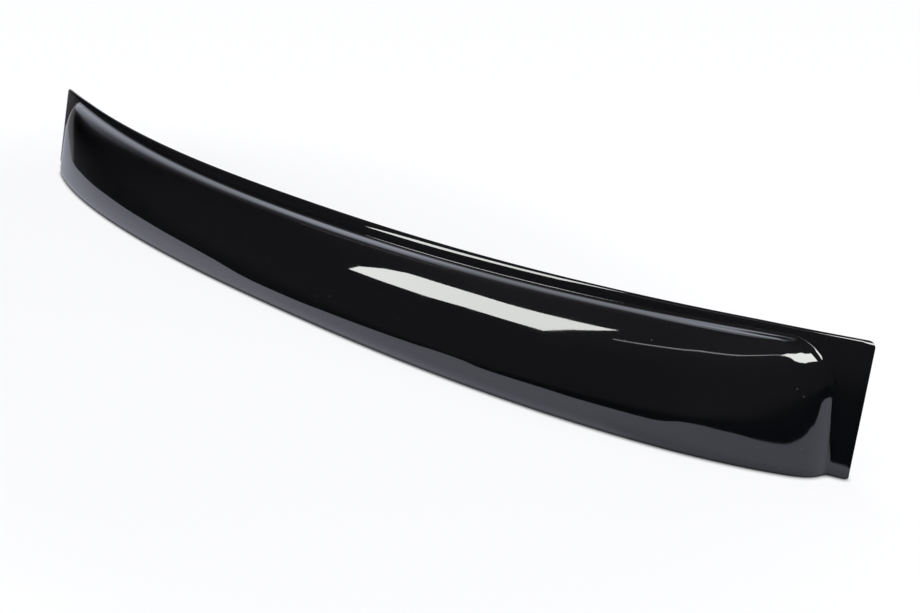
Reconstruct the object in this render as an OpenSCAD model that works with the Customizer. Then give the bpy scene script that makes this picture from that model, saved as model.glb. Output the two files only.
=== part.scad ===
// Tailgate spoiler, heat-formed in one piece from one sheet of gloss black acrylic.
// X runs along the tailgate and -Y is the outer side. The lower edge stands on Z = 0,
// and the origin is the middle of the part's footprint.

/* [Overall] */
// Length along the lower edge, end to end
lower_length = 1327.3; // [900:0.1:1600]
// Length along the top edge, end to end
top_length = 1301.2; // [900:0.1:1600]
// Height of the top edge at the middle
middle_height = 119.8; // [90:0.1:180]
// Extra height of the top edge at the ends
end_rise = 5.3; // [0:0.1:12]
// Thickness of the sheet
sheet_thickness = 3; // [2:0.25:4]

/* [Bow] */
// How far the ends lie behind the middle, seen from above
bow_depth = 80.4; // [20:0.1:140]
// 2 is an even bow, more bends it closer to the ends
bow_power = 2.35; // [2:0.05:3]
// Length of each end that is straight, for its bonding face
straight_end = 43; // [25:1:80]

/* [Top flange] */
// Backward lean of the flange at its foot in the middle, in degrees from upright
lean_middle = 22; // [8:0.1:28]
// Backward lean of the flange at the ends
lean_end = 20; // [8:0.1:28]
// Radius of the flange's backward curve at the middle
flange_radius_middle = 45.6; // [15:0.1:60]
// Radius of the flange's backward curve at the ends
flange_radius_end = 22.2; // [10:0.1:40]
// Angle that the flange curves back through at the middle
flange_turn_middle = 19; // [2:0.1:25]
// Angle that the flange curves back through at the ends
flange_turn_end = 14; // [2:0.1:25]
// Straight height of the flange below its curve
flange_drop = 0.5; // [0.1:0.1:15]

/* [Hood section] */
// Inside radius of the hollow corner between flange and step
hollow_radius = 6.1; // [1:0.1:8]
// Slope of the step, in degrees from upright
step_angle = 71.7; // [50:0.1:78]
// Straight length of the step at the middle
step_length_middle = 0.9; // [0.5:0.1:8]
// Straight length of the step at the ends
step_length_end = 1.9; // [0.5:0.1:8]
// Radius of the ridge along the top of the face
ridge_radius = 15.5; // [5:0.1:18]
// Slope of the face just below the ridge
face_angle_top = 38.7; // [38.5:0.1:46]
// Slope of the face where the lower lip starts, at the middle
face_angle_low_middle = 26.6; // [18:0.1:38]
// Slope of the face where the lower lip starts, at the ends
face_angle_low_end = 37.7; // [18:0.1:38]
// Radius of the lip that turns the face under, at the middle
lip_radius_middle = 46.8; // [20:0.1:70]
// Radius of the lip at the ends
lip_radius_end = 67.6; // [20:0.1:70]
// Angle that the lip turns in beyond upright
lip_undercut = 10.4; // [0:0.1:20]

/* [Ends] */
// Width of the flat end flange at the lower edge
end_flange_low = 18; // [12:0.1:40]
// Width of the flat end flange at the top edge
end_flange_top = 28.5; // [12:0.1:40]
// How far the wall at each end of the hood stands out
wall_depth = 10.9; // [5:0.1:25]
// Length over which most of the wall rises
wall_run = 9; // [5:0.1:30]
// Slope of the hood beyond the wall, towards its full depth
wall_slope = 0.16; // [0.05:0.01:0.4]
// How squarely the wall meets the face, 2 is soft
wall_squareness = 2.6; // [1.5:0.1:5]
// Size of the soft bend along the foot of the wall
foot_radius = 2.8; // [0.5:0.1:8]
// Radius of each top corner of the hood, seen from the front
hood_corner = 46.5; // [5:0.5:60]
// Radius of the small lip along the foot of the end flange
end_lip_radius = 20; // [10:1:40]
// Corner radius of the end flange at the top
corner_top = 6; // [1:0.5:12]
// Corner radius of the end flange at the lower edge
corner_low = 4; // [1:0.5:12]

/* [Hidden] */

half_low = lower_length / 2;
half_top = top_length / 2;
straight_from = 1 - straight_end / half_low;

// Steps along the middle of the hood, along the last of it at each end, and across each end flange
hood_steps = 14;
end_steps = 14;
flange_steps = 2;
// Length of the hood at each end that the closer steps cover, and how they crowd towards its foot
end_zone = 130;
end_crowding = 1.7;
// Share of the end flange taken up by the bend at its foot
end_flat_from = 0.15;
// Steps round each bend of the section, and down the face
flange_curve_steps = 5;
hollow_steps = 4;
ridge_steps = 6;
face_steps = 8;
lip_steps = 10;
// Above 1, the steps round the lip crowd towards its lower edge
lip_crowding = 1.6;
// Depth below which the hood counts as level with the flange
least_depth = 0.001;

// A value at the middle that changes to another at the ends
function between(middle, end, outer) = middle + (end - middle) * outer;

// Bow of the part seen from above, with straight ends
function bow_share(q) =
    let (curved = min(q, straight_from))
    pow(curved, bow_power) + bow_power * pow(straight_from, bow_power - 1) * (q - curved);
function bow_at(q) = bow_depth * bow_share(q) / bow_share(1);
function bow_slope(q) =
    bow_power * pow(min(q, straight_from), bow_power - 1) * bow_depth / bow_share(1) / half_low;

// Fall and forward reach of an arc between two slopes, each in degrees from upright
function arc_fall(radius, a, b) = radius * abs(sin(a) - sin(b));
function arc_reach(radius, a, b) = radius * abs(cos(a) - cos(b));

// Points of an arc that starts at [reach, height], without its start
function arc_run(start, radius, a, b, steps) =
    [for (i = [1:steps])
        let (slope = a + (b - a) * i / steps)
        [start[0] + arc_reach(radius, a, slope), start[1] - arc_fall(radius, a, slope)]];

function last(list) = list[len(list) - 1];

// Section through the hood as [reach, height] points, from the top edge down.
// outer is 0 at the middle and 1 at the ends
function hood_section(top, outer) =
    let (
        lean = between(lean_middle, lean_end, outer),
        turn = between(flange_turn_middle, flange_turn_end, outer),
        flange_radius = between(flange_radius_middle, flange_radius_end, outer),
        curve = arc_run([0, top], flange_radius, lean + turn, lean, flange_curve_steps),
        flange_end = last(curve) + [flange_drop * tan(lean), -flange_drop],
        hollow = arc_run(flange_end, hollow_radius, lean, step_angle, hollow_steps),
        step_length = between(step_length_middle, step_length_end, outer),
        step_end = last(hollow) + step_length * [sin(step_angle), -cos(step_angle)],
        ridge = arc_run(step_end, ridge_radius, step_angle, face_angle_top, ridge_steps),
        angle_low = between(face_angle_low_middle, face_angle_low_end, outer),
        lip_radius = between(lip_radius_middle, lip_radius_end, outer),
        face_fall = last(ridge)[1] - lip_radius * (sin(angle_low) + sin(lip_undercut)),
        face_radius = face_fall / (sin(face_angle_top) - sin(angle_low)),
        face = arc_run(last(ridge), face_radius, face_angle_top, angle_low, face_steps)
    )
    concat([[0, top]], curve, [flange_end], hollow, [step_end], ridge, face,
        lip_run(last(face), lip_radius, angle_low));

// The lip turns from the face through upright to its undercut, so reach first grows, then shrinks
function lip_run(start, radius, angle_low) =
    [for (i = [1:lip_steps])
        let (slope = -lip_undercut + (angle_low + lip_undercut) * pow(1 - i / lip_steps, lip_crowding))
        [
            start[0] + radius * (cos(slope) - cos(angle_low)),
            start[1] - radius * (sin(angle_low) - sin(slope))
        ]];

// Reach of the plain flange at a height: its curve, a straight, then the small lip at its foot
function flange_reach(height, top, outer) =
    let (
        lean = between(lean_middle, lean_end, outer),
        lean_top = lean + between(flange_turn_middle, flange_turn_end, outer),
        radius = between(flange_radius_middle, flange_radius_end, outer),
        curve_fall = arc_fall(radius, lean_top, lean),
        curve_reach = arc_reach(radius, lean_top, lean),
        lip_top = end_lip_radius * (sin(lean) + sin(lip_undercut)),
        fall = top - height
    )
    fall < curve_fall
        ? radius * (cos(asin(sin(lean_top) - fall / radius)) - cos(lean_top))
        : height > lip_top
            ? curve_reach + (fall - curve_fall) * tan(lean)
            : curve_reach + (top - curve_fall - lip_top) * tan(lean)
                + end_lip_radius * (cos(asin(sin(lean) - (lip_top - height) / end_lip_radius)) - cos(lean));

// Half length at a height up the end, with its two rounded corners
function corner_cut(radius, distance) =
    distance < radius ? radius - sqrt(pow(radius, 2) - pow(radius - distance, 2)) : 0;
function end_at(height, top) =
    half_low + (half_top - half_low) * height / top
        - corner_cut(corner_top, top - height) - corner_cut(corner_low, height);
function flange_width_at(height, top) =
    end_flange_low + (end_flange_top - end_flange_low) * height / top;

// Where the hood starts at a height up the end. Its top corner is cut back from the level hood_top
function foot_at(height, top, hood_top) =
    half_low + (half_top - half_low) * height / top - flange_width_at(height, top)
        - corner_cut(hood_corner, max(hood_top - height, 0));

// How far the wall at each end stands out at a distance in from its foot
function end_wall(distance) =
    let (eased = norm([distance, foot_radius]) - foot_radius)
    wall_depth * (1 - exp(-eased / wall_run)) + wall_slope * eased;

// The smaller of two depths, eased where they meet
function blend_lower(a, b) =
    min(a, b) < least_depth
        ? 0
        : pow(pow(a, -wall_squareness) + pow(b, -wall_squareness), -1 / wall_squareness);

// Stations along one half: 0 to 1 on the hood, and 1 to 2 across the end flange
end_from = 1 - end_zone / (half_low - end_flange_low);
half_stations = concat(
    [for (i = [1:hood_steps]) end_from * i / hood_steps],
    [for (i = [1:end_steps]) 1 - (1 - end_from) * pow(1 - i / end_steps, end_crowding)],
    [for (i = [0:flange_steps]) 1 + end_flat_from + (1 - end_flat_from) * i / flange_steps]
);
stations = concat([for (i = [len(half_stations) - 1:-1:0]) -half_stations[i]], [0], half_stations);

// One column of the outer skin, from the top edge down
function skin_column(station) =
    let (
        share = abs(station),
        side = sign(station),
        foot_low = half_low - end_flange_low,
        q = (share < 1 ? share * foot_low : foot_low + (share - 1) * end_flange_low) / half_low,
        outer = pow(min(q, straight_from), 2),
        top = middle_height + end_rise * outer,
        slope = bow_slope(q),
        outwards = [side * slope, -1] / norm([slope, 1]),
        section = hood_section(top, outer),
        hood_top = section[flange_curve_steps + 1][1]
    )
    [for (point = section)
        let (
            height = max(point[1], 0),
            foot = foot_at(height, top, hood_top),
            along = share < 1 ? share * foot : foot + (share - 1) * (end_at(height, top) - foot),
            plain = flange_reach(height, top, outer),
            depth = share < 1 ? blend_lower(point[0] - plain, end_wall(foot - along)) : 0
        )
        [
            side * along + outwards[0] * depth,
            bow_at(along / half_low) - plain + outwards[1] * depth,
            height
        ]];

outer_skin = [for (station = stations) skin_column(station)];
columns = len(outer_skin);
rows = len(outer_skin[0]);

// The inner skin lies one sheet thickness behind the outer one, square to it
function inward(i, j) =
    let (
        along = outer_skin[min(i + 1, columns - 1)][j] - outer_skin[max(i - 1, 0)][j],
        down = outer_skin[i][min(j + 1, rows - 1)] - outer_skin[i][max(j - 1, 0)],
        square = cross(down, along)
    )
    square / norm(square);
inner_skin = [for (i = [0:columns - 1])
    [for (j = [0:rows - 1])
        let (point = outer_skin[i][j] - sheet_thickness * inward(i, j))
        j == rows - 1 ? [point[0], point[1], 0] : point]];

// Shift that puts the middle of the footprint on the origin
all_y = [for (skin = [outer_skin, inner_skin]) for (column = skin) for (point = column) point[1]];
centre_y = (min(all_y) + max(all_y)) / 2;

// Point numbers and the four-cornered cells between neighbouring columns and rows
function at(skin, i, j) = (skin * columns + i) * rows + j;
function cell(a, b, c, d) = [[a, b, c], [a, c, d]];

module spoiler_shell() {
    skin_points = [for (skin = [outer_skin, inner_skin]) for (column = skin) for (point = column)
        point - [0, centre_y, 0]];
    skin_faces = [for (i = [0:columns - 2]) for (j = [0:rows - 2])
        for (triangle = concat(
            cell(at(0, i, j), at(0, i + 1, j), at(0, i + 1, j + 1), at(0, i, j + 1)),
            cell(at(1, i, j), at(1, i, j + 1), at(1, i + 1, j + 1), at(1, i + 1, j))))
        triangle];
    edge_faces = [for (i = [0:columns - 2])
        for (triangle = concat(
            cell(at(0, i, 0), at(1, i, 0), at(1, i + 1, 0), at(0, i + 1, 0)),
            cell(at(0, i, rows - 1), at(0, i + 1, rows - 1), at(1, i + 1, rows - 1), at(1, i, rows - 1))))
        triangle];
    end_faces = [for (j = [0:rows - 2])
        for (triangle = concat(
            cell(at(0, 0, j), at(0, 0, j + 1), at(1, 0, j + 1), at(1, 0, j)),
            cell(at(0, columns - 1, j), at(1, columns - 1, j), at(1, columns - 1, j + 1),
                at(0, columns - 1, j + 1))))
        triangle];
    color([0.07, 0.07, 0.08])
        polyhedron(points = skin_points, faces = concat(skin_faces, edge_faces, end_faces));
}

spoiler_shell();
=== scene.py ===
import bpy
import math
import numpy as np
from mathutils import Matrix, Vector


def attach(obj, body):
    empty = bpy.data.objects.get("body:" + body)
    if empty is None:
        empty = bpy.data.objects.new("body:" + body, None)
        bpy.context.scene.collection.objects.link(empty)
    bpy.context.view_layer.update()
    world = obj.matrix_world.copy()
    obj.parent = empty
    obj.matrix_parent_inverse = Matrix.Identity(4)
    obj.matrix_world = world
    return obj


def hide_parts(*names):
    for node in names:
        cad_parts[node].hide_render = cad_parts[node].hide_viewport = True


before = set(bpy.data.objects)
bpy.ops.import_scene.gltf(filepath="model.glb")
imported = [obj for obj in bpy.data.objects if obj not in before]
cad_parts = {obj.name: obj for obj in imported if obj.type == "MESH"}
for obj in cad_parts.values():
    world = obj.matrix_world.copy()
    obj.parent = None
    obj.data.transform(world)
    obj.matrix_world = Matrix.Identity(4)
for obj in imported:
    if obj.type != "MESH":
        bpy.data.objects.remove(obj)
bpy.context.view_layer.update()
scene = bpy.context.scene
scene.view_settings.view_transform = "Standard"

# Camera: stands to the right of the part and above it, and looks down along the bow.
# A 35 mm lens on a 36 mm wide sensor.
camera_place = Vector((0.7803, -0.6658, 0.5643))
camera_yaw, camera_pitch, camera_roll = 0.68428, 0.54006, -0.02717
ahead = Vector((-math.sin(camera_yaw) * math.cos(camera_pitch),
                math.cos(camera_yaw) * math.cos(camera_pitch),
                -math.sin(camera_pitch)))
level_right = Vector((math.cos(camera_yaw), math.sin(camera_yaw), 0))
level_up = level_right.cross(ahead)
right = math.cos(camera_roll) * level_right + math.sin(camera_roll) * level_up
up = math.cos(camera_roll) * level_up - math.sin(camera_roll) * level_right
camera_data = bpy.data.cameras.new("camera")
camera_data.lens = 35
camera_data.sensor_width = 36
camera = bpy.data.objects.new("camera", camera_data)
scene.collection.objects.link(camera)
camera.matrix_world = Matrix.Translation(camera_place) @ Matrix((right, up, -ahead)).transposed().to_4x4()
scene.camera = camera

# Spoiler shell: one sheet of 3 mm black acrylic, heated until limp and drawn over a mould. A flange along
# the top and down both ends is taped to the tailgate, and a hood swells out of it.
# Here a flat sheet is given the mould's form, then its thickness and its dressed rim.
lower_length, top_length = 1.3273, 1.3012
middle_height, end_rise = 0.1198, 0.0053
sheet_thickness = 0.003
bow_depth, bow_power, straight_end = 0.0804, 2.35, 0.043
flange_lean = (math.radians(22), math.radians(20))
flange_radius, flange_turn = (0.0456, 0.0222), (math.radians(19), math.radians(14))
flange_drop = 0.0005
hollow_radius, step_angle, step_length = 0.0061, math.radians(71.7), (0.0009, 0.0019)
ridge_radius = 0.0155
face_angle_top, face_angle_low = math.radians(38.7), (math.radians(26.6), math.radians(37.7))
lip_radius, lip_undercut = (0.0468, 0.0676), math.radians(10.4)
end_flange_low, end_flange_top = 0.018, 0.0285
wall_depth, wall_run, wall_slope = 0.0109, 0.009, 0.16
wall_blend, foot_radius, hood_corner = 2.60, 0.0028, 0.0465
end_lip_radius, corner_top, corner_low = 0.020, 0.006, 0.004
half_low, half_top = lower_length / 2, top_length / 2
straight_from = 1 - straight_end / half_low
flange_steps, hollow_steps, ridge_steps, face_steps, lip_steps, lip_crowding = 12, 10, 10, 14, 18, 1.3
touching, least_depth = 1e-6, 1e-9
sin, cos, tan = np.sin, np.cos, np.tan


def bow_share(q):
    curved = np.minimum(np.abs(q), straight_from)
    return curved ** bow_power + bow_power * straight_from ** (bow_power - 1) * (np.abs(q) - curved)


def run_arc(line, radius, slope_from, slope_to, steps, crowding=1.0):
    """Adds an arc to a section line, a list of (reach, height) columns, between two slopes from upright."""
    reach, height = line[-1]
    for i in range(1, steps + 1):
        slope = slope_to + (slope_from - slope_to) * (1 - i / steps) ** crowding
        outwards = cos(slope) - cos(slope_from)
        line.append((reach + radius * (outwards if np.all(slope_to < 0) else abs(outwards)),
                     height - radius * abs(sin(slope_from) - sin(slope))))


def run_straight(line, length, slope):
    reach, height = line[-1]
    line.append((reach + length * sin(slope), height - length * cos(slope)))


def between(pair, outer):
    return pair[0] + (pair[1] - pair[0]) * outer


def hood_section(top, outer):
    """The section from the top edge down: flange, hollow, step, ridge, face and lip.

    outer is 0 at the middle and 1 at the ends.
    """
    lean, low = between(flange_lean, outer), between(face_angle_low, outer)
    line = [(0 * top, top)]
    run_arc(line, between(flange_radius, outer), lean + between(flange_turn, outer), lean, flange_steps)
    run_straight(line, flange_drop / cos(lean), lean)
    run_arc(line, hollow_radius, lean, step_angle, hollow_steps)
    run_straight(line, between(step_length, outer), step_angle)
    run_arc(line, ridge_radius, step_angle, face_angle_top, ridge_steps)
    face_fall = line[-1][1] - between(lip_radius, outer) * (sin(low) + sin(lip_undercut))
    run_arc(line, face_fall / (sin(face_angle_top) - sin(low)), face_angle_top, low, face_steps)
    run_arc(line, between(lip_radius, outer), low, -lip_undercut, lip_steps, lip_crowding)
    return [np.stack([column[k] + 0 * top for column in line], 1) for k in (0, 1)]


def flange_reach(height, top, outer):
    """Reach of the plain flange at a height: its curve, a straight, then the small lip at its foot."""
    radius, lean = between(flange_radius, outer), between(flange_lean, outer)
    lean_top = lean + between(flange_turn, outer)
    curve_fall = radius * (sin(lean_top) - sin(lean))
    curve_reach = radius * (cos(lean) - cos(lean_top))
    lip_top = end_lip_radius * (sin(lean) + sin(lip_undercut))
    fall = top - height
    on_curve = radius * (np.sqrt(1 - np.clip(sin(lean_top) - fall / radius, -1, 1) ** 2) - cos(lean_top))
    on_flat = curve_reach + (fall - curve_fall) * tan(lean)
    lip_slope = np.clip(sin(lean) - (lip_top - height) / end_lip_radius, -1, 1)
    on_lip = (curve_reach + (top - curve_fall - lip_top) * tan(lean)
              + end_lip_radius * (np.sqrt(1 - lip_slope ** 2) - cos(lean)))
    return np.where(fall < curve_fall, on_curve, np.where(height > lip_top, on_flat, on_lip))


def corner_cut(radius, distance):
    return radius - np.sqrt(np.clip(radius ** 2 - np.clip(radius - distance, 0, radius) ** 2, 0, None))


def end_wall(distance):
    """How far the wall at each end of the hood stands out at a distance in from its foot."""
    eased = np.sqrt(np.maximum(distance, 0) ** 2 + foot_radius ** 2) - foot_radius
    return wall_depth * (1 - np.exp(-eased / wall_run)) + wall_slope * eased


def blend_lower(a, b):
    """The smaller of two depths, eased where they meet."""
    a, b = np.maximum(a, least_depth), np.maximum(b, least_depth)
    return (a ** -wall_blend + b ** -wall_blend) ** (-1 / wall_blend)


def formed_sheet(stations):
    """The outer skin: a row of points from the top edge to the lower edge at each station.

    A station runs from 0 at the middle to 1 at the hood's end and 2 at the end flange's edge.
    """
    station = np.array(stations)[:, None]
    share, side = np.abs(station), np.where(station < 0, -1, 1)
    foot_low = half_low - end_flange_low
    settled = np.minimum(np.minimum(share, 1) * foot_low / half_low
                         + np.maximum(share - 1, 0) * end_flange_low / half_low, straight_from)
    outer = settled ** 2
    top = middle_height + end_rise * outer
    reach, height = hood_section(top[:, 0], outer[:, 0])
    height = np.maximum(height, 0)
    hood_top = height[:, flange_steps + 1:flange_steps + 2]
    base = half_low + (half_top - half_low) * height / top
    foot = (base - (end_flange_low + (end_flange_top - end_flange_low) * height / top)
            - corner_cut(hood_corner, np.maximum(hood_top - height, 0)))
    end = base - corner_cut(corner_top, top - height) - corner_cut(corner_low, height)
    along = np.where(share < 1, share * foot, foot + (share - 1) * (end - foot))
    plain = flange_reach(height, top, outer)
    depth = np.where((share < 1) & (reach - plain > touching),
                     blend_lower(reach - plain, end_wall(foot - along)), 0)
    slope = bow_power * settled ** (bow_power - 1) * bow_depth / bow_share(1) / half_low
    across = np.hypot(slope, 1)
    bow = bow_depth * bow_share(along / half_low) / bow_share(1)
    return np.stack([side * (along + slope / across * depth), bow - plain - depth / across, height], -1)


# Stations along one half: even along most of the hood, closer together towards its end, then the end flange.
even_share, even_stations = 0.8, 36
close_share, close_stations, close_crowding = 0.2, 44, 1.6
flange_stations = 8
half = np.concatenate([
    even_share * np.arange(1, even_stations + 1) / even_stations,
    even_share + close_share * (1 - (1 - np.arange(1, close_stations + 1) / close_stations)
                                ** close_crowding),
    1 + np.arange(1, flange_stations + 1) / flange_stations])
formed = formed_sheet(np.concatenate([-half[::-1], [0], half]))
columns, rows = formed.shape[:2]
bpy.ops.object.select_all(action="DESELECT")
bpy.ops.mesh.primitive_grid_add(x_subdivisions=columns - 1, y_subdivisions=rows - 1, size=1,
                                location=(0, 0, 0))
shell = bpy.context.object
shell.name = shell.data.name = "formed_shell"
# How much the shading leans back, which the material reads: the form itself is not changed by it.
end_lean_low, end_lean_more, end_lean_height = 0.018, 0.022, 0.125
left_top_lean, left_lean_from, left_lean_rows = 0.04, 0.10, flange_steps + 5
right_top_lean, right_lean_from, right_lean_rows = 0.032, 0.38, flange_steps + 1
lean_eases_over = 0.12
set_back = shell.data.attributes.new("set_back", "FLOAT", "POINT")
for vertex in shell.data.vertices:
    i = round((vertex.co.x + 0.5) * (columns - 1))
    j = round((0.5 - vertex.co.y) * (rows - 1))
    vertex.co = formed[i, j]
    out, _, height = formed[i, j]
    if out < 0:
        top_lean, lean_from, lean_rows = left_top_lean, left_lean_from, left_lean_rows
    else:
        top_lean, lean_from, lean_rows = right_top_lean, right_lean_from, right_lean_rows
    lean = 0
    if min(i, columns - 1 - i) < flange_stations:
        lean = end_lean_low + end_lean_more * (height / end_lean_height) ** 3
    elif j < lean_rows:
        lean = top_lean * min(max((abs(out) - lean_from) / lean_eases_over, 0), 1)
    set_back.data[vertex.index].value = lean
bpy.ops.object.mode_set(mode="EDIT")
bpy.ops.mesh.select_all(action="SELECT")
bpy.ops.mesh.normals_make_consistent(inside=False)
bpy.ops.object.mode_set(mode="OBJECT")
# The skin has to face outwards, so that the thickness goes inwards.
middle_face = min(shell.data.polygons, key=lambda f: (f.center - Vector((0, -0.05, 0.05))).length)
if middle_face.normal.y > 0:
    shell.data.flip_normals()
thickness = shell.modifiers.new("thickness", "SOLIDIFY")
thickness.thickness = sheet_thickness
thickness.offset = -1
thickness.use_even_offset = True
bpy.ops.object.modifier_apply(modifier="thickness")
shell_y = [v.co.y for v in shell.data.vertices]
middle_y = (min(shell_y) + max(shell_y)) / 2
for vertex in shell.data.vertices:
    vertex.co.y -= middle_y
    vertex.co.z = max(vertex.co.z, 0)
dressing = shell.modifiers.new("dressed_rim", "BEVEL")
dressing.width = 0.0014
dressing.segments = 4
dressing.limit_method = "ANGLE"
dressing.angle_limit = math.radians(50)
bpy.ops.object.modifier_apply(modifier="dressed_rim")
bpy.ops.object.shade_smooth_by_angle(angle=math.radians(40))

gloss = bpy.data.materials.new("gloss_black_acrylic")
gloss.use_nodes = True
nodes, links = gloss.node_tree.nodes, gloss.node_tree.links
acrylic = nodes["Principled BSDF"]
acrylic.inputs["IOR"].default_value = 1.49
place = nodes.new("ShaderNodeTexCoord")


def node_math(operation, a, b=0.0):
    """One sum of two values, each a number or the output of another node."""
    result = nodes.new("ShaderNodeMath")
    result.operation = operation
    for socket, value in zip(result.inputs, (a, b)):
        if isinstance(value, (int, float)):
            socket.default_value = value
        else:
            links.new(value, socket)
    return result.outputs[0]


def stretched(value, low, high, to, course="LINEAR"):
    """A node's output between low and high, stretched to run between two other values."""
    spread = nodes.new("ShaderNodeMapRange")
    spread.interpolation_type = course
    for name, number in zip(("From Min", "From Max", "To Min", "To Max"), (low, high, *to)):
        spread.inputs[name].default_value = number
    links.new(value, spread.inputs["Value"])
    return spread.outputs["Result"]


def speckle(kind, scale, low, high, to):
    """A noise or cell pattern in the part's own metres, stretched to run between two values."""
    pattern = nodes.new(kind)
    pattern.inputs["Scale"].default_value = scale
    links.new(place.outputs["Object"], pattern.inputs["Vector"])
    return stretched(pattern.outputs["Fac" if kind == "ShaderNodeTexNoise" else "Distance"], low, high, to)


# Polished, with a faint unevenness of the polish, and a few specks of dust.
links.new(speckle("ShaderNodeTexNoise", 22, 0.35, 0.7, (0.016, 0.034)), acrylic.inputs["Roughness"])
dust = speckle("ShaderNodeTexVoronoi", 95, 0.035, 0.055, (1, 0))
patchy = speckle("ShaderNodeTexNoise", 14, 0.56, 0.62, (0, 1))
tone = nodes.new("ShaderNodeMix")
tone.data_type = "RGBA"
tone.inputs["A"].default_value = (0.0042, 0.0042, 0.0048, 1)
tone.inputs["B"].default_value = (0.12, 0.12, 0.12, 1)
links.new(node_math("MULTIPLY", dust, patchy), tone.inputs["Factor"])
links.new(tone.outputs["Result"], acrylic.inputs["Base Color"])

# The shading of the end flanges, and of the top flange towards its ends, leans back 1 to 2.3 degrees more
# than the form does.
geometry = nodes.new("ShaderNodeNewGeometry")
lean_back = nodes.new("ShaderNodeAttribute")
lean_back.attribute_name = "set_back"
upward = nodes.new("ShaderNodeCombineXYZ")
links.new(lean_back.outputs["Fac"], upward.inputs["Z"])
turned = nodes.new("ShaderNodeVectorMath")
turned.operation = "ADD"
links.new(geometry.outputs["Normal"], turned.inputs[0])
links.new(upward.outputs[0], turned.inputs[1])
# A formed sheet is never quite true: long shallow waves, and fine polishing lines.
waves = nodes.new("ShaderNodeBump")
waves.inputs["Distance"].default_value = 0.00004
links.new(speckle("ShaderNodeTexNoise", 16, 0, 1, (0, 1)), waves.inputs["Height"])
links.new(turned.outputs[0], waves.inputs["Normal"])
lines = nodes.new("ShaderNodeBump")
lines.inputs["Distance"].default_value = 0.0000012
links.new(speckle("ShaderNodeTexNoise", 420, 0, 1, (0, 1)), lines.inputs["Height"])
links.new(waves.outputs["Normal"], lines.inputs["Normal"])
links.new(lines.outputs["Normal"], acrylic.inputs["Normal"])
shell.data.materials.clear()
shell.data.materials.append(gloss)
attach(shell, "root")
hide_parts("spoiler_shell")

# Studio floor: white paper under the part. It keeps a faint shadow and shows white to the camera, and
# the gloss sees past it to the room light.
bpy.ops.object.select_all(action="DESELECT")
bpy.ops.mesh.primitive_circle_add(vertices=96, radius=3.0, fill_type="NGON", location=(0, 0, -0.0005))
floor = bpy.context.object
floor.name = "paper_floor"
paper = bpy.data.materials.new("white_paper")
paper.use_nodes = True
nodes, links = paper.node_tree.nodes, paper.node_tree.links
nodes["Principled BSDF"].inputs["Base Color"].default_value = (0.9, 0.9, 0.91, 1)
nodes["Principled BSDF"].inputs["Roughness"].default_value = 0.9
nodes["Principled BSDF"].inputs["Specular IOR Level"].default_value = 0
# Painted contact shadow: light hardly gets in under the lower edge, so the paper's glow is darkened close to
# it.
closeness = nodes.new("ShaderNodeAmbientOcclusion")
closeness.inputs["Distance"].default_value = 0.006
closeness.samples = 8
open_share = stretched(closeness.outputs["AO"], 0.35, 0.98, (0, 1), "SMOOTHSTEP")
# Painted shade: round the part the paper's glow is a shade under white, for the part's soft shadow, and
# further out it is white.
place = nodes.new("ShaderNodeTexCoord")
oval = nodes.new("ShaderNodeMapping")
oval.inputs["Location"].default_value = (0.05, 0.2, 0)
oval.inputs["Scale"].default_value = (0.95, 1.75, 1)
links.new(place.outputs["Object"], oval.inputs["Vector"])
reach = nodes.new("ShaderNodeVectorMath")
reach.operation = "LENGTH"
links.new(oval.outputs["Vector"], reach.inputs[0])
shade = stretched(reach.outputs["Value"], 0.55, 1.0, (0.955, 1.03), "SMOOTHSTEP")
white = nodes.new("ShaderNodeEmission")
white.inputs["Color"].default_value = (0.985, 0.985, 0.998, 1)
links.new(node_math("MULTIPLY", shade, open_share), white.inputs["Strength"])
path = nodes.new("ShaderNodeLightPath")
glowing_share = 0.9
to_camera = nodes.new("ShaderNodeMixShader")
links.new(node_math("MULTIPLY", path.outputs["Is Camera Ray"], glowing_share), to_camera.inputs["Fac"])
links.new(nodes["Principled BSDF"].outputs[0], to_camera.inputs[1])
links.new(white.outputs[0], to_camera.inputs[2])
# Painted contact shadow in the gloss: the room light seen past the paper is dimmed close to the lower edge by
# the same share.
see_past = nodes.new("ShaderNodeBsdfTransparent")
links.new(open_share, see_past.inputs["Color"])
paper_look = nodes.new("ShaderNodeMixShader")
links.new(path.outputs["Is Glossy Ray"], paper_look.inputs["Fac"])
links.new(to_camera.outputs[0], paper_look.inputs[1])
links.new(see_past.outputs[0], paper_look.inputs[2])
links.new(paper_look.outputs[0], nodes["Material Output"].inputs["Surface"])
floor.data.materials.append(paper)

# Softboxes: white cloth boxes that light the part from the front and show in its gloss as long pale
# patches, and two thin lit rails on the ceiling. Each is a flat panel 2 m up.


def lamp_panel(name, corners, strength, tint=(1, 1, 1)):
    """A flat glowing panel with these corners, unseen by the camera."""
    mesh = bpy.data.meshes.new(name)
    mesh.from_pydata(corners, [], [tuple(range(len(corners)))])
    panel = bpy.data.objects.new(name, mesh)
    scene.collection.objects.link(panel)
    lit = bpy.data.materials.new(name)
    lit.use_nodes = True
    lit.node_tree.nodes.clear()
    emission = lit.node_tree.nodes.new("ShaderNodeEmission")
    emission.inputs["Color"].default_value = (*tint, 1)
    emission.inputs["Strength"].default_value = strength
    output = lit.node_tree.nodes.new("ShaderNodeOutputMaterial")
    lit.node_tree.links.new(emission.outputs[0], output.inputs["Surface"])
    mesh.materials.append(lit)
    panel.visible_camera = False


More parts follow.
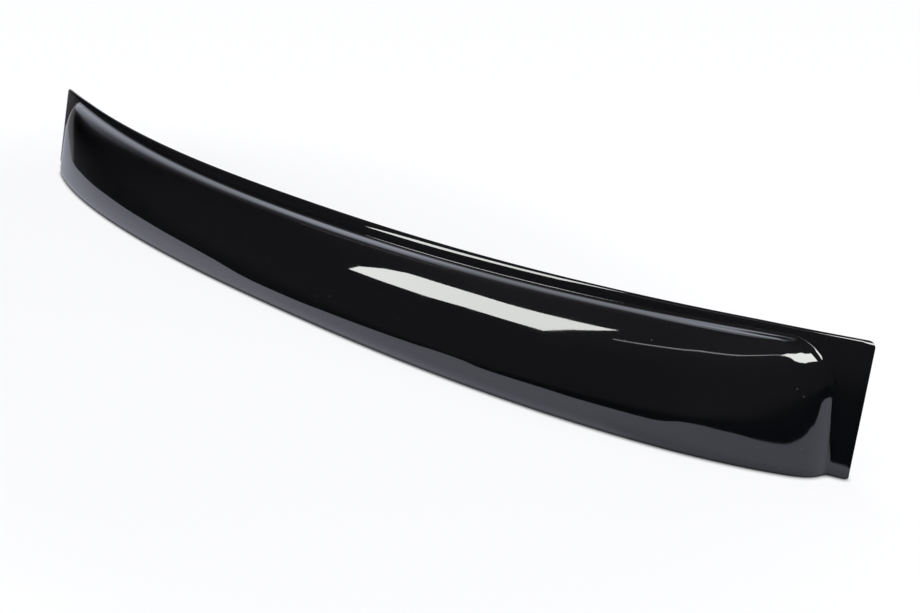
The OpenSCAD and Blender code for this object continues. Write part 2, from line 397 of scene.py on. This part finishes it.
cloth = (0.98, 1.0, 0.97)
lamp_panel("softbox_left",
           [(-2.90, -3.34, 2), (-2.58, -3.02, 2), (-2.14, -2.73, 2), (-1.85, -2.61, 2), (-1.50, -2.585, 2),
            (-0.75, -2.57, 2), (-0.05, -2.49, 2), (-0.44, -2.84, 2), (-0.69, -3.14, 2), (-1.45, -3.18, 2),
            (-1.91, -3.29, 2), (-2.39, -3.33, 2)], 17.5, cloth)
lamp_panel("softbox_right", [
    (1.30, -2.83, 2), (1.48, -2.62, 2), (1.68, -2.34, 2), (1.92, -1.70, 2), (2.20, -1.06, 2),
    (2.37, -0.37, 2), (2.45, 0.10, 2), (3.25, 0.10, 2), (3.10, -0.40, 2), (2.80, -1.40, 2),
    (2.50, -2.40, 2), (2.15, -2.86, 2), (1.85, -3.00, 2), (1.60, -2.92, 2)], 20, cloth)
lamp_panel("ceiling_rail_front", [(-0.08, -2.775, 2), (0.57, -2.70, 2), (0.92, -2.80, 2), (1.40, -2.80, 2),
                                  (1.40, -2.83, 2), (0.92, -2.84, 2), (0.57, -2.74, 2), (-0.08, -2.80, 2)], 5)
lamp_panel("ceiling_rail_left", [(-2.50, -1.80, 2), (-1.40, -1.19, 2), (-0.98, -0.91, 2),
                                 (-0.98, -0.88, 2), (-1.40, -1.16, 2), (-2.50, -1.77, 2)], 4)

# Room light: what the gloss sees of the room by direction. A long lit strip of ceiling to the left and
# overhead, pale paper low round the horizon, and dark between them. The camera sees plain white.
world = bpy.data.worlds.new("studio")
world.use_nodes = True
scene.world = world
nodes, links = world.node_tree.nodes, world.node_tree.links
coordinate = nodes.new("ShaderNodeTexCoord")
split = nodes.new("ShaderNodeSeparateXYZ")
links.new(coordinate.outputs["Generated"], split.inputs[0])


def follow(value, low, high, points, most=1.0):
    """The height of a curve through these points, from low to high along, up to most."""
    share = node_math("DIVIDE", node_math("SUBTRACT", value, low), high - low)
    curve = nodes.new("ShaderNodeFloatCurve")
    line = curve.mapping.curves[0]
    while len(line.points) < len(points):
        line.points.new(0.5, 0.5)
    for point, (x, y) in zip(line.points, points):
        point.location = ((x - low) / (high - low), y / most)
    curve.mapping.update()
    links.new(share, curve.inputs["Value"])
    return node_math("MULTIPLY", curve.outputs[0], most)


def glow(tint, strength):
    light = nodes.new("ShaderNodeBackground")
    light.inputs["Color"].default_value = (*tint, 1)
    links.new(strength, light.inputs["Strength"])
    return light.outputs[0]


def both(first, second):
    total = nodes.new("ShaderNodeAddShader")
    links.new(first, total.inputs[0])
    links.new(second, total.inputs[1])
    return total.outputs[0]


# The direction looked in: turn is 0 to the front and grows to the right, tilt is 0 level and grows upwards.
to_right, to_back, to_up = split.outputs["X"], split.outputs["Y"], split.outputs["Z"]
turn = node_math("MULTIPLY", node_math("ARCTAN2", to_right, node_math("MULTIPLY", to_back, -1.0)),
                 180 / math.pi)
tilt = node_math("MULTIPLY", node_math("ARCSINE", to_up), 180 / math.pi)

# The lit strip: how bright it is round the room and how bright upwards. Right of its end it climbs.
strip_end, strip_climb, strip_level, overhead_level = 84, 0.8, 6.8, 2.5
round_ceiling = follow(turn, -180, 180, [
    (-180, 0.02), (-150, 0.03), (-143, 0.3), (-136, 1.0), (-126, 1.0), (-114, 0.8), (-102, 0.66),
    (-90, 0.57), (-84, 0.46), (-78, 0.30), (-72, 0.15), (-66, 0.08), (-58, 0.05), (-40, 0.02), (180, 0.01)])
past_end = node_math("MAXIMUM", node_math("ADD", turn, strip_end), 0.0)
lifted = node_math("SUBTRACT", tilt, node_math("MULTIPLY", past_end, strip_climb))
up_ceiling = follow(lifted, 0, 90, [
    (0, 0), (4.5, 0.0), (6.5, 0.22), (9, 0.34), (19, 0.40), (28, 0.47), (38, 0.55), (44, 0.8), (50, 0.95),
    (57, 0.65), (68, 0.58), (74, 0.75), (80, 1.0), (90, 1.0)])
overhead = node_math("MULTIPLY", follow(tilt, 0, 90, [(0, 0), (70, 0), (73, 0.1), (77, 0.9), (90, 1)]),
                     follow(to_right, -1, 1, [(-1, 1), (-0.14, 1), (-0.06, 0.3), (0.0, 0.0), (1, 0)]))
strip = node_math("MULTIPLY", node_math("MULTIPLY", round_ceiling, up_ceiling), strip_level)
ceiling = node_math("MAXIMUM", strip, node_math("MULTIPLY", overhead, overhead_level))

# The paper's far border, in degrees above the level. The curve holds it 10 degrees up: it can't go under 0.
curve_lift, border_blur = 10, 0.2
rim = follow(turn, -180, 180, [
    (-180, 10), (-110, 4), (-96, 4), (-88, 4), (-84, 5), (-80, 7), (-76, 9), (-72, 11), (-68, 13),
    (-64, 14), (-60, 15), (-56, 15), (-52, 14), (-48, 8), (-44, 5), (-40, 7), (-36, 9), (-32, 11),
    (-28, 13), (-24, 15), (-20, 11), (-12, 11), (-8, 10), (4, 10), (8, 13), (12, 14), (16, 13.4),
    (20, 12.9), (25, 12.3), (40, 12.8), (52, 12.5), (60, 11.5), (68, 10.5), (76, 9.5), (84, 8), (92, 6),
    (104, 5), (180, 10)], 20)
under_rim = stretched(node_math("SUBTRACT", rim, tilt), curve_lift - border_blur, curve_lift + border_blur,
                      (0, 1), "SMOOTHSTEP")
rim_light = follow(turn, -180, 180, [
    (-180, 0.6), (-110, 0.45), (-102, 0.5), (-90, 0.62), (-78, 0.82), (-66, 1.08), (-54, 1.48), (-42, 1.7),
    (-30, 1.56), (-6, 1.46), (6, 1.34), (18, 1.25), (36, 1.2), (54, 1.25), (66, 1.3), (90, 1.35),
    (120, 1.2), (180, 0.6)], 2)
near_paper = follow(tilt, -90, 90, [(-90, 0.75), (-30, 0.78), (-18, 0.86), (-8, 0.98), (90, 1)])
paper_glow = node_math("MULTIPLY", node_math("MULTIPLY", under_rim, rim_light), near_paper)
# What is left of light in the dark of the room, and a dim patch low on the left behind the paper.
dim = node_math("MULTIPLY",
                follow(tilt, -90, 90, [
                    (-90, 0.0), (5, 0.02), (12, 0.03), (25, 0.03), (40, 0.10), (60, 0.10), (90, 0.1)]),
                follow(turn, -180, 180, [(-180, 0.3), (-75, 0.3), (-45, 1.4), (-20, 1.2), (-5, 1), (10, 1.4),
                                         (25, 0.8), (180, 0.8)], 2))
round_patch = follow(turn, -180, 180, [
    (-180, 0.3), (-96, 0.3), (-85.5, 0.25), (-84, 0.02), (-80, 0.0), (180, 0.0)])
up_patch = follow(tilt, -90, 90, [(-90, 0), (-14, 0), (-8, 1), (6, 1), (12, 0), (90, 0)])
over_paper = node_math("SUBTRACT", 1.0, under_rim)
dim_side = node_math("MULTIPLY", node_math("MULTIPLY", round_patch, over_paper), up_patch)

lights = nodes.new("ShaderNodeAddShader")
links.new(both(glow((0.92, 0.96, 1.1), ceiling), glow((0.93, 0.95, 1.12), paper_glow)), lights.inputs[0])
links.new(both(glow((1.0, 0.97, 1.0), dim), glow((1.06, 1.0, 1.0), dim_side)), lights.inputs[1])
seen = nodes.new("ShaderNodeLightPath")
plain = nodes.new("ShaderNodeMixShader")
links.new(seen.outputs["Is Camera Ray"], plain.inputs["Fac"])
links.new(lights.outputs[0], plain.inputs[1])
nodes["Background"].inputs["Color"].default_value = (1, 1, 1, 1)
links.new(nodes["Background"].outputs[0], plain.inputs[2])
links.new(plain.outputs[0], nodes["World Output"].inputs["Surface"])
